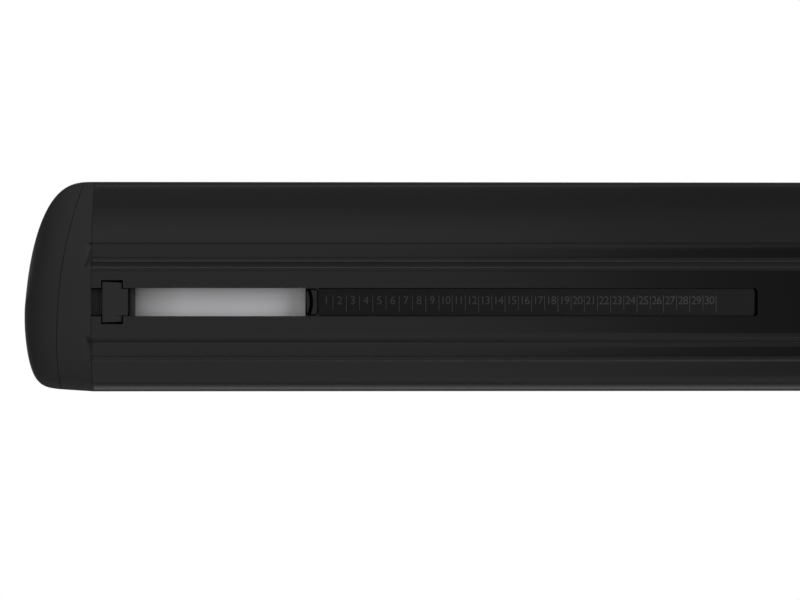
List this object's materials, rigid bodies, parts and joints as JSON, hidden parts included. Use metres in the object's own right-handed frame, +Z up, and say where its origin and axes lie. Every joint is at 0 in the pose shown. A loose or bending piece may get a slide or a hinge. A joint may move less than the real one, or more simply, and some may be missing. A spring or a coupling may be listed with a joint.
{
  "type": "roof rack crossbar",
  "caption": "Wing-section aluminium roof rack crossbar with end caps, press catches and sliding scale strips in the slotted underside channel.",
  "frame": {"origin": "middle of the bar's length and of its chord, on the plane of the flat underside", "axes": "+X along the bar to the right end, +Y towards the rounded nose (the leading edge on the car), +Z up as installed"},
  "size_m": [1.1802, 0.0802, 0.0306],
  "materials": {
    "black_anodised_aluminium": "satin black anodised",
    "cap_plastic": "fine matte mould texture",
    "strip_plastic": "matte",
    "gloss_plastic": "polished",
    "black_rubber": "matte rubber",
    "bright_steel": "drawn bright"
  },
  "bodies": {
    "bar": {"bar": "black_anodised_aluminium", "track_strip": "black_rubber", "left_cap_collar": "cap_plastic", "left_cap_cover": "cap_plastic", "left_catch_pin": "bright_steel", "left_catch_spring": "bright_steel", "right_cap_collar": "cap_plastic", "right_cap_cover": "cap_plastic", "right_catch_pin": "bright_steel", "right_catch_spring": "bright_steel"},
    "left_catch": {"left_catch": "cap_plastic"},
    "right_catch": {"right_catch": "cap_plastic"},
    "left_strip": {"left_scale_strip": "strip_plastic", "left_strip_pull": "gloss_plastic"},
    "right_strip": {"right_scale_strip": "strip_plastic", "right_strip_pull": "gloss_plastic"}
  },
  "joints": [
    {"name": "left_catch_press", "type": "hinge", "parent": "bar", "child": "left_catch", "pos_m": [-0.5715, 0.0059, 0.0035], "axis": [0, -1, 0], "range_deg": [0, 10], "stiffness_Nm_per_rad": 0.25, "springref_deg": -5.16, "deforming": ["left_catch_spring"]},
    {"name": "right_catch_press", "type": "hinge", "parent": "bar", "child": "right_catch", "pos_m": [0.5715, 0.0059, 0.0035], "axis": [0, 1, 0], "range_deg": [0, 10], "stiffness_Nm_per_rad": 0.25, "springref_deg": -5.16, "deforming": ["right_catch_spring"]},
    {"name": "left_strip_slide", "type": "slide", "parent": "bar", "child": "left_strip", "axis": [-1, 0, 0], "range_m": [-0.001, 0.063]},
    {"name": "right_strip_slide", "type": "slide", "parent": "bar", "child": "right_strip", "axis": [1, 0, 0], "range_m": [-0.001, 0.063]}
  ]
}
